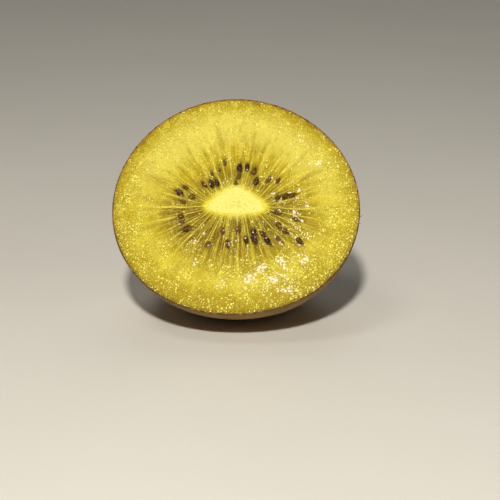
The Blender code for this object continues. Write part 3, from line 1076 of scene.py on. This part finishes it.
@dataclass
class Flesh:
    """The flesh with its cut face: core, rays, chambers, grain and the pockets that the seeds lie in.

    A wet or torn spot is a place on the cut, to the right and up, and a radius, all in millimetres.
    """

    fruit: Fruit
    rest: RestingPlace
    finish: FleshFinish = field(default_factory=FleshFinish)
    inset: float = 0.20 * MM
    bearings: int = 720
    rings: int = 106
    core_rings: int = 15
    ray_sharpness: float = 5.0
    grain_size: float = 0.75 * MM
    grain_height: float = 0.075 * MM
    swell_size: float = 6.0 * MM
    swell_height: float = 0.16 * MM
    pocket_depth: float = 0.22 * MM
    rim_droop: float = 0.08 * MM
    coarser_core_from: int = 4
    underside_halved_at: tuple[int, ...] = (0, 1, 18)
    # Painted glints and a painted sheen gather on the wet and torn spots below; the wet ones are also
    # glossier.
    wet_spots: tuple[tuple[float, float, float], ...] = (
        (5.2, -13.7, 2.6),
        (2.9, -16.3, 3.0),
        (7.9, -16.3, 3.6),
        (11.5, -16.8, 3.4),
        (10.3, -12.4, 2.6),
        (14.2, -11.8, 2.6),
        (-2.8, -17.2, 1.6),
        (-8.0, -12.5, 1.3),
        (14.7, -6.3, 1.3),
        (12.7, 2.7, 1.9),
        (17.1, 9.1, 1.2),
        (13.6, 14.4, 1.1),
        (-18.4, 7.3, 1.2),
        (0.2, -8.4, 1.3),
        (-8.8, -7.8, 1.4),
        (10.0, 1.0, 1.6),
        (12.8, -1.7, 1.4),
    )
    torn_spots: tuple[tuple[float, float, float], ...] = (
        (5.7, -13.3, 1.1),
        (3.2, -15.8, 1.5),
        (8.5, -16.1, 1.2),
        (11.1, -18.2, 1.1),
        (9.0, -11.7, 0.7),
        (11.9, -11.4, 0.8),
        (-3.1, -17.0, 0.6),
        (16.4, -8.0, 0.6),
        (7.7, 2.4, 0.6),
        (15.6, 9.3, 0.6),
        (14.9, -0.3, 0.6),
        (12.7, -4.9, 0.6),
        (-6.5, -6.3, 0.5),
        (11.3, 13.5, 0.45),
    )

    def build(self) -> bpy.types.Object:
        """Makes the flesh and dresses it.

        Returns:
            The piece.
        """
        loft = Loft()
        seeds = [(self.fruit.on_cut(seed.bearing, seed.share), seed) for seed in self.fruit.seeds()]
        for share in np.linspace(1.0, 0.0, self.rings):
            self._cut_ring(loft, bearings_round(self.bearings), float(share), seeds)
        for i, share in enumerate(np.linspace(-1.0 / self.core_rings, -1.0, self.core_rings)[:-1]):
            coarser = 2 if i < self.coarser_core_from else 4
            self._cut_ring(loft, bearings_round(self.bearings // coarser), float(share), seeds)
        loft.cap(fan=np.array([[0.0, 0.0, -1.0]]), **self._plain())
        self._underside(loft)
        piece = loft.piece("kiwi_flesh", lambda points: self.rest.lay(points, self.inset))
        wear(piece, self.finish.material(), Slot.FLESH)
        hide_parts("kiwi_half")
        return piece

    def _plain(self) -> dict[str, float]:
        """What flesh with no ray, seed or wet patch carries."""
        return {"ray_wave": 0.0, "ray_strength": 0.0, "seed_stain": 0.0, "wet": 0.0, "torn": 0.0}

    def _cut_ring(self, loft: Loft, bearings: np.ndarray, share: float, seeds: Sequence[PlacedSeed]) -> None:
        """Adds one ring of the cut face.

        Args:
            loft: the surface so far.
            bearings: the ring's bearings.
            share: from 1 at the skin to 0 at the core's edge and -1 at its middle.
            seeds: the seeds and where they lie.
        """
        core = self.fruit.core_edge(bearings)
        if share >= 0:
            flat = core + (self.fruit.outline(bearings, self.inset) - core) * share
            height = self.fruit.cut_height(bearings, share, self.ray_sharpness)
        else:
            centre = np.array(self.fruit.core_centre)
            flat = centre + (core - centre) * (1 + share)
            height = np.full(len(bearings), self.fruit.core_rise)
        points = np.column_stack((flat, np.zeros(len(flat))))
        pocket, stain = self._round_seeds(flat, seeds)
        grainy = 0.35 + 0.65 * float(smoothstep(-0.1, 0.35, share))
        grain = pebbles(points, self.grain_size) + 0.5 * pebbles(points, self.grain_size / 2, 7.3)
        height = height + self.grain_height * grainy * (grain - 0.6) * (1 - pocket)
        height += self.swell_height * waves(points, self.swell_size, 3.1) * float(smoothstep(0.3, 0.6, share))
        height -= self.pocket_depth * pocket
        height -= self.rim_droop * float(smoothstep(0.985, 1.0, share))
        points[:, 2] = height
        fan = np.column_stack((np.cos(bearings), np.sin(bearings), np.full(len(bearings), share)))
        loft.ring(
            points,
            fan=fan,
            ray_wave=self.fruit.ray_wave(bearings, share),
            ray_strength=self.fruit.ray_strength(bearings, share),
            seed_stain=stain,
            wet=self._near(flat, self.wet_spots),
            torn=self._near(flat, self.torn_spots),
        )

    def _round_seeds(self, flat: np.ndarray, seeds: Sequence[PlacedSeed]) -> tuple[np.ndarray, np.ndarray]:
        """How near each point is to a seed.

        Args:
            flat: points in the plane of the cut.
            seeds: the seeds and where they lie.

        Returns:
            The depth of the pocket and the strength of the stain, both from 0 to 1.
        """
        pocket = np.zeros(len(flat))
        stain = np.zeros(len(flat))
        for (spot, along), seed in seeds:
            away = flat - spot
            turn = along + seed.twist
            length = away[:, 0] * math.cos(turn) + away[:, 1] * math.sin(turn)
            width = away[:, 1] * math.cos(turn) - away[:, 0] * math.sin(turn)
            length /= self.fruit.seed_length / 2 * seed.size
            width /= self.fruit.seed_width / 2 * seed.size
            plain = float(smoothstep(0.35, 0.6, seed.stand))
            pocket = np.maximum(pocket, plain * (1 - smoothstep(0.9, 1.7, np.hypot(length, width))))
            shade = (0.50 + 0.3 * plain) * (1 - smoothstep(0.5, 1.6, np.hypot(0.72 * length, width)))
            stain = np.maximum(stain, shade)
        return pocket, stain

    def _near(self, flat: np.ndarray, spots: Sequence[tuple[float, float, float]]) -> np.ndarray:
        """How near points in the plane of the cut are to the middle of a spot, from 0 to 1."""
        near = np.zeros(len(flat))
        for across, up, radius in spots:
            distance = np.hypot(flat[:, 0] - across * MM, flat[:, 1] - up * MM) / (radius * MM)
            near = np.maximum(near, 1 - smoothstep(0.2, 1.3, distance))
        return near

    def _underside(self, loft: Loft) -> None:
        """Closes the flesh below, just inside the skin."""
        loft.last = loft.first
        stations = [math.cos(math.radians(4.0 * k)) for k in range(1, 22)] + [0.10, 0.06, 0.03]
        count = self.bearings
        for i, radius_share in enumerate(stations):
            if i in self.underside_halved_at:
                count //= 2
            points = self.fruit.skin(bearings_round(count), radius_share, self.inset)
            loft.ring(points, fan=np.tile((1.0, 0.0, 1.0), (count, 1)), **self._plain())
        loft.cap(fan=np.array([[1.0, 0.0, 1.0]]), **self._plain())


@dataclass
class Skin:
    """The skin: a thin shell from the knife's edge round to the blossom end."""

    fruit: Fruit
    rest: RestingPlace
    finish: SkinFinish = field(default_factory=SkinFinish)
    bearings: int = 360
    thickness: float = 0.32 * MM
    edge_stand: float = 0.05 * MM
    edge_wobble: float = 0.06 * MM
    pucker_height: float = 0.05 * MM
    pucker_size: float = 1.6 * MM
    knife_depth: float = 0.16 * MM
    edge_round: float = 0.10 * MM
    outer_inset: float = 0.03 * MM

    def build(self) -> bpy.types.Object:
        """Makes the skin and dresses it.

        Returns:
            The piece.
        """
        around = bearings_round(self.bearings)
        stations = self._stations()
        loft = Loft()
        for radius_share in stations[::-1]:
            loft.ring(self._wall(around, radius_share, self.thickness), cut_edge=0.0, below_edge=0.0)
        circle = np.column_stack((np.cos(around), np.sin(around), np.zeros(len(around))))
        wobble = waves(circle, 0.06, 2.0) + 0.6 * waves(circle, 0.017, 5.0)
        inner = self.fruit.outline(around, self.thickness - 0.7 * self.edge_wobble * (1 + wobble))
        top = self.edge_stand + self.edge_wobble * wobble
        outer = self.fruit.outline(around, self.outer_inset)
        for flat, drop in ((inner, self.knife_depth), (inner, 0.0), (outer, 0.1 * self.edge_round)):
            loft.ring(np.column_stack((flat, top - drop)), cut_edge=1.0, below_edge=1.0)
        side = np.column_stack((self.fruit.outline(around), top - self.edge_round))
        loft.ring(side, cut_edge=0.7, below_edge=1.0)
        for radius_share in (math.cos(math.radians(0.25)), math.cos(math.radians(0.8))):
            loft.ring(self._wall(around, radius_share, 0.0), cut_edge=0.0, below_edge=0.8)
        for radius_share in stations:
            below = {stations[0]: 0.75, stations[1]: 0.30}.get(radius_share, 0.0)
            loft.ring(self._wall(around, radius_share, 0.0), cut_edge=0.0, below_edge=below)
        loft.close()
        piece = loft.piece("kiwi_skin", self._settle)
        return wear(piece, self.finish.material(), Slot.SKIN)

    def _stations(self) -> list[float]:
        """The rings' shares of the outline's radius, from the rim to the blossom end."""
        return [math.cos(math.radians(2.0 * k)) for k in range(1, 43)] + [0.11, 0.09, 0.07, 0.05, 0.03, 0.015]

    def _wall(self, around: np.ndarray, radius_share: float, inset: float) -> np.ndarray:
        """One ring of the skin, puckered a little."""
        points = self.fruit.skin(around, radius_share, inset)
        outward = points / np.linalg.norm(points, axis=1)[:, None]
        return points + outward * (self.pucker_height * (waves(points, self.pucker_size) - 0.4))[:, None]

    def _settle(self, points: np.ndarray) -> np.ndarray:
        """Lays the shell down; the inner wall stays its thickness above the floor."""
        lining = self.bearings * len(self._stations())
        inner = self.rest.lay(points[:lining], self.thickness)
        return np.concatenate((inner, self.rest.lay(points[lining:])))


@dataclass
class Seeds:
    """The seeds: glossy drops, each half sunk in its chamber."""

    fruit: Fruit
    rest: RestingPlace
    finish: SeedFinish = field(default_factory=SeedFinish)
    taper: float = 0.22
    lump_share: float = 0.13
    lump_size: float = 0.55 * MM
    bed_height: float = 0.24 * MM
    veiled_sink: float = 0.18
    tone_random: int = 5
    sides: int = 20
    bands: int = 14

    def build(self) -> bpy.types.Object:
        """Makes the seeds as one piece and dresses them.

        Returns:
            The piece.
        """
        chance = random.Random(self.tone_random)
        heap = Gathering()
        shape, along = self._drop()
        for seed in self.fruit.seeds():
            veiled = 1 - float(smoothstep(0.45, 0.68, seed.stand))
            tone = min(1.0, 0.85 * veiled + chance.uniform(0.0, 0.20))
            points, bed = self._set_in(shape, seed)
            heap.shape(points, self._faces(), tone=tone, along=along, bed=bed)
        return wear(heap.piece("kiwi_seeds", self.rest.lay), self.finish.material(), Slot.SEED)

    def _drop(self) -> tuple[np.ndarray, np.ndarray]:
        """One seed along X, blunt at -X and slimmer at +X, and each point's share of its length."""
        turn = bearings_round(self.sides)
        rows = [np.array([[-1.0, 0.0, 0.0]])]
        for k in range(1, self.bands):
            polar = math.pi * k / self.bands
            radius = math.sin(polar) * (1 + self.taper * math.cos(polar)) / (1 + self.taper / 4)
            level = np.full(self.sides, -math.cos(polar))
            rows.append(np.column_stack((level, radius * np.cos(turn), radius * np.sin(turn))))
        rows.append(np.array([[1.0, 0.0, 0.0]]))
        shape = np.concatenate(rows)
        size = np.array((self.fruit.seed_length, self.fruit.seed_width, self.fruit.seed_thickness))
        return shape * size / 2, (shape[:, 0] + 1) / 2

    def _faces(self) -> Iterator[tuple[int, ...]]:
        """The faces of one seed, outwards."""
        last = 1 + self.sides * (self.bands - 1)
        for i in range(self.sides):
            far = (i + 1) % self.sides
            yield (0, 1 + i, 1 + far)[::-1]
            for k in range(self.bands - 2):
                row = 1 + k * self.sides
                yield (row + i, row + self.sides + i, row + self.sides + far, row + far)[::-1]
            row = last - self.sides
            yield (row + i, last, row + far)[::-1]

    def _set_in(self, shape: np.ndarray, seed: Seed) -> tuple[np.ndarray, np.ndarray]:
        """Turns and sinks one seed into its chamber.

        Args:
            shape: a seed about its own middle.
            seed: where it goes.

        Returns:
            Its points, and how far the flesh has grown over each, from 0 to 1.
        """
        spot, along = self.fruit.on_cut(seed.bearing, seed.share)
        turn = along + seed.twist
        sunk = float(self.fruit.cut_height(np.array([seed.bearing]), seed.share)[0])
        veiled = 1 - float(smoothstep(0.35, 0.60, seed.stand))
        stand = seed.stand - 0.5 - self.veiled_sink * veiled
        height = sunk + stand * self.fruit.seed_thickness * seed.size
        uneven = waves(shape + (spot[0], spot[1], 0.0), self.lump_size, 4.0)
        sized = shape * seed.size * (1 + (self.lump_share * (0.4 + veiled)) * uneven)[:, None]
        across = sized[:, 0] * math.cos(turn) - sized[:, 1] * math.sin(turn)
        up = sized[:, 0] * math.sin(turn) + sized[:, 1] * math.cos(turn)
        level = sized[:, 2] + height
        bed = 1 - smoothstep(0.0, self.bed_height * (0.3 + veiled), level - sunk)
        return np.column_stack((across + spot[0], up + spot[1], level)), bed


@dataclass(frozen=True)
class RimHair:
    """A hair that shows at the outline: its bearing in degrees, its length, and how far it leans round."""

    bearing: float
    length: float
    lean: float


@dataclass
class Hairs:
    """A few short hairs on the skin and the dried tuft in the blossom end's pit."""

    fruit: Fruit
    rest: RestingPlace
    finish: HairFinish = field(default_factory=HairFinish)
    count: int = 420
    length: float = 0.55 * MM
    radius: float = 0.035 * MM
    at_rim: tuple[RimHair, ...] = (
        RimHair(-4.0, 0.85 * MM, 0.8),
        RimHair(-7.0, 0.45 * MM, -0.3),
        RimHair(169.5, 0.55 * MM, 0.2),
        RimHair(-38.0, 0.5 * MM, 0.4),
        RimHair(62.0, 0.45 * MM, -0.5),
    )
    rim_radius: float = 0.075 * MM
    tuft_count: int = 26
    tuft_length: float = 1.9 * MM
    tuft_radius: float = 0.09 * MM
    root_depth: float = 0.05 * MM
    place_random: int = 11
    joints: int = 4
    sides: int = 3

    def build(self) -> bpy.types.Object:
        """Makes every hair as one piece and dresses it.

        Returns:
            The piece.
        """
        chance = random.Random(self.place_random)
        heap = Gathering()
        for _ in range(self.count):
            self._strand(heap, self._on_skin(chance), self.radius)
        for hair in self.at_rim:
            self._strand(heap, self._beside_cut(hair), self.rim_radius)
        for _ in range(self.tuft_count):
            self._strand(heap, self._in_pit(chance), self.tuft_radius)
        return wear(heap.piece("kiwi_hairs", self.rest.lay), self.finish.material(), Slot.SKIN)

    def _steps(self) -> np.ndarray:
        """The joints' shares of a strand's length, as a column."""
        return np.linspace(0.0, 1.0, self.joints)[:, None]

    def _on_skin(self, chance: random.Random) -> np.ndarray:
        """The bent line of one hair on the skin, root first."""
        radius_share = math.sqrt(chance.uniform(0.03, 1.0)) * 0.995
        bearing = np.array([chance.uniform(-math.pi, math.pi)])
        root = self.fruit.skin(bearing, radius_share, self.root_depth)[0]
        outward = self.fruit.skin(bearing, radius_share, -1.0 * MM)[0] - root
        outward /= np.linalg.norm(outward)
        lean = np.array([chance.uniform(-1, 1) for _ in range(3)])
        lean -= outward * lean.dot(outward)
        length = self.length * chance.uniform(0.5, 1.3)
        steps = self._steps()
        return root + length * (outward * (steps - 0.35 * steps**2) + lean * 0.8 * steps**2)

    def _beside_cut(self, hair: RimHair) -> np.ndarray:
        """One hair that shows at the outline of the cut.

        Args:
            hair: where it stands, how long it is and how it leans.

        Returns:
            Its bent line, root first.
        """
        turn = math.radians(hair.bearing)
        root = self.fruit.skin(np.array([turn]), math.cos(math.radians(1.0)), self.root_depth)[0]
        outward = np.array((math.cos(turn), math.sin(turn), 0.0))
        around = np.array((-math.sin(turn), math.cos(turn), 0.0))
        steps = self._steps()
        return root + hair.length * (outward * steps + around * hair.lean * steps**1.5)

    def _in_pit(self, chance: random.Random) -> np.ndarray:
        """The bent line of one dried thread at the blossom end, root first."""
        bearing = np.array([chance.uniform(-math.pi, math.pi)])
        root = self.fruit.skin(bearing, chance.uniform(0.01, 0.05), 2 * self.root_depth)[0]
        away = np.array((math.cos(bearing[0]), math.sin(bearing[0]), 0.0))
        length = self.tuft_length * chance.uniform(0.6, 1.0)
        steps = self._steps()
        rise = np.array((0.0, 0.0, -1.0)) * (1.1 * steps - 0.75 * steps**2)
        return root + length * (rise * chance.uniform(0.5, 0.9) + away * steps * chance.uniform(0.5, 0.9))

    def _strand(self, heap: Gathering, line: np.ndarray, radius: float) -> None:
        """Adds one tapered strand with a closed root and a pointed tip.

        Args:
            heap: the piece so far.
            line: the strand's middle line, root first.
            radius: at the root.
        """
        axis = line[-1] - line[0]
        side = np.cross(axis, (0.3, 0.5, 0.8))
        side /= np.linalg.norm(side)
        other = np.cross(axis, side)
        other /= np.linalg.norm(other)
        turn = bearings_round(self.sides)[:, None]
        circle = side * np.cos(turn) + other * np.sin(turn)
        last = self.joints - 1
        rings = [centre + radius * (1 - 0.7 * k / last) * circle for k, centre in enumerate(line[:-1])]
        along = np.append(np.repeat(np.arange(last) / last, self.sides), 1.0)
        heap.shape(np.concatenate((*rings, line[-1:])), self._strand_faces(), along=along)

    def _strand_faces(self) -> Iterator[tuple[int, ...]]:
        """The faces of one strand, outwards."""
        yield tuple(range(self.sides))[::-1]
        tip = self.sides * (self.joints - 1)
        for i in range(self.sides):
            far = (i + 1) % self.sides
            for row in range(0, tip - self.sides, self.sides):
                yield (row + i, row + far, row + far + self.sides, row + i + self.sides)
            yield (tip - self.sides + i, tip - self.sides + far, tip)


# The studio


@dataclass(frozen=True)
class Lamp:
    """A round, soft light that faces the fruit from a direction in degrees."""

    name: str
    azimuth: float
    elevation: float
    distance: float
    size: float
    power: float
    colour: tuple[float, float, float] = (1.0, 0.99, 0.97)


@dataclass
class Studio:
    """The pale floor, the soft lights and the camera at the photograph's angle."""

    lamps: tuple[Lamp, ...] = (
        Lamp("key", -1.0, 40.0, 0.50, 0.034, 2.38, (1.0, 0.985, 0.95)),
        Lamp("top left", -48.0, 66.0, 0.7, 0.22, 0.6),
        Lamp("fill from the left", -62.0, 30.0, 0.9, 0.8, 0.15),
        Lamp("fill from the right", 58.0, 26.0, 1.0, 0.8, 0.10, (0.97, 0.98, 1.0)),
        Lamp("backdrop", 176.0, 55.0, 1.5, 1.2, 2.5, (1.0, 1.0, 1.0)),
    )
    lit_height: float = 0.02
    room_colour: Colour = (0.75, 0.76, 0.80, 1.0)
    room_strength: float = 0.05
    floor_size: float = 3.0
    sweep_radius: float = 0.5
    wall_height: float = 1.6
    lens: float = 100.0
    distance: float = 0.29104
    azimuth: float = 2.5
    elevation: float = 19.0
    aim: tuple[float, float, float] = (3.09 * MM, -12.35 * MM, 17.93 * MM)

    def build(self) -> None:
        """Makes the floor, the lights and the camera."""
        self._floor()
        for lamp in self.lamps:
            self._light(lamp)
        world = bpy.data.worlds.new("studio")
        world.use_nodes = True
        background = world.node_tree.nodes["Background"]
        background.inputs["Color"].default_value = self.room_colour
        background.inputs["Strength"].default_value = self.room_strength
        bpy.context.scene.world = world
        bpy.context.scene.view_settings.view_transform = "Standard"
        self._camera()

    def _towards(self, azimuth: float, elevation: float) -> Vector:
        """The unit vector from the fruit to a place at these degrees."""
        around, up = math.radians(azimuth), math.radians(elevation)
        return Vector((math.sin(around) * math.cos(up), -math.cos(around) * math.cos(up), math.sin(up)))

    def _floor(self) -> None:
        """A floor that sweeps up into a wall far behind."""
        half, radius = self.floor_size / 2, self.sweep_radius
        turns = [math.radians(degrees) for degrees in range(10, 100, 10)]
        sweep = [(half - radius * (1 - math.sin(turn)), radius * (1 - math.cos(turn))) for turn in turns]
        profile = [(-half, 0.0), (half - radius, 0.0), *sweep, (half, self.wall_height)]
        sheet = Gathering()
        sheet.shape(
            np.array([(side * half * 1.5, y, z) for y, z in profile for side in (-1, 1)]),
            [(2 * i, 2 * i + 1, 2 * i + 3, 2 * i + 2) for i in range(len(profile) - 1)],
        )
        floor = sheet.piece("floor", np.asarray)
        floor.data.materials.append(FloorFinish().material())

    def _light(self, lamp: Lamp) -> None:
        """Hangs one lamp."""
        data = bpy.data.lights.new(lamp.name, "AREA")
        data.shape = "DISK"
        data.size = lamp.size
        data.energy = lamp.power
        data.color = lamp.colour
        towards = self._towards(lamp.azimuth, lamp.elevation)
        spot = Vector((0.0, 0.0, self.lit_height)) + towards * lamp.distance
        self._hang(bpy.data.objects.new(lamp.name, data), spot, towards)

    def _camera(self) -> None:
        """Sets up the camera at the photograph's angle."""
        data = bpy.data.cameras.new("camera")
        data.lens = self.lens
        data.clip_start, data.clip_end = 0.01, 20.0
        camera = bpy.data.objects.new("camera", data)
        back = self._towards(self.azimuth, self.elevation)
        self._hang(camera, Vector(self.aim) + back * self.distance, back)
        bpy.context.scene.camera = camera

    def _hang(self, thing: bpy.types.Object, spot: Vector, back: Vector) -> None:
        """Puts a light or a camera in its place.

        Args:
            thing: the light or the camera.
            spot: where it goes.
            back: the direction behind it; it looks the other way.
        """
        thing.location = spot
        thing.rotation_mode = "QUATERNION"
        thing.rotation_quaternion = back.to_track_quat("Z", "Y")
        bpy.context.scene.collection.objects.link(thing)


def main() -> None:
    """Builds the half piece by piece, then the studio."""
    logging.basicConfig(level=logging.INFO, format="%(message)s")
    fruit = Fruit()
    rest = RestingPlace(fruit)
    for part in (Flesh(fruit, rest), Skin(fruit, rest), Seeds(fruit, rest), Hairs(fruit, rest)):
        piece = part.build()
        triangles = sum(len(face.vertices) - 2 for face in piece.data.polygons)
        log.info("%s: %d triangles", piece.name, triangles)
    Studio().build()


if __name__ == "__main__":
    main()
